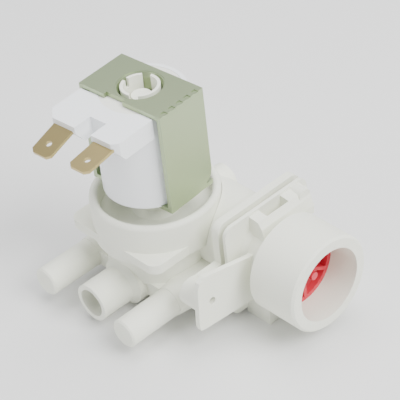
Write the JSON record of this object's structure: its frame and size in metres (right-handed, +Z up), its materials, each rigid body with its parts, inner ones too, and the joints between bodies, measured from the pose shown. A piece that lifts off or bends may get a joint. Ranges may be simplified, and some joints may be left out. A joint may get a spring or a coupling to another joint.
{
  "type": "washing machine inlet valve",
  "caption": "Solenoid water inlet valve: threaded inlet with red filter, mounting plates with a screw tab, outlet tube, locating pins and a coil in a steel yoke.",
  "frame": {"origin": "on the rest plane, under the axis of the solenoid", "axes": "+Z up along the solenoid axis, +X towards the inlet's mouth, -Y towards the outlet tube and locating pins"},
  "size_m": [0.0695, 0.0578, 0.0614],
  "materials": {
    "ivory_body": "satin moulded, slightly translucent",
    "ivory_cover": "satin moulded, slightly translucent",
    "white_case": "semi-gloss moulded",
    "natural_plastic": "moulded",
    "red_plastic": "moulded",
    "red_mesh": "woven",
    "chromated_steel": "zinc plated, iridescent chromate",
    "plain_steel": "turned",
    "spring_steel": "drawn",
    "brass_tab": "stamped",
    "copper": "enamelled wire",
    "black_rubber": "moulded"
  },
  "bodies": {
    "valve": {"valve_body": "ivory_body", "cover": "ivory_cover", "inlet_filter": "red_plastic", "filter_mesh": "red_mesh", "flow_washer": "black_rubber", "regulator_seat": "natural_plastic", "diaphragm": "black_rubber", "plunger_spring": "spring_steel"},
    "solenoid": {"coil_case": "white_case", "coil_winding": "copper", "bobbin": "natural_plastic", "upper_pole_bush": "chromated_steel", "lower_pole_bush": "chromated_steel", "yoke_frame": "chromated_steel", "yoke_plate": "chromated_steel", "terminal_left": "brass_tab", "terminal_right": "brass_tab"},
    "core": {"plunger": "plain_steel", "plunger_tip": "black_rubber"},
    "pilot": {"pilot_insert": "natural_plastic"}
  },
  "joints": [
    {"name": "coil_turn", "type": "hinge", "parent": "valve", "child": "solenoid", "pos_m": [0, 0, 0.04], "axis": [0, 0, 1], "continuous": true},
    {"name": "plunger_lift", "type": "slide", "parent": "valve", "child": "core", "axis": [0, 0, 1], "range_m": [0, 0.003], "stiffness_N_per_m": 60, "springref_m": -0.006, "deforming": ["plunger_spring"]},
    {"name": "diaphragm_lift", "type": "slide", "parent": "valve", "child": "pilot", "axis": [0, 0, 1], "range_m": [0, 0.0024], "deforming": ["diaphragm"]}
  ],
  "couplings": [
    {"joint": "diaphragm_lift", "follows": "plunger_lift", "ratio": 0.8}
  ]
}
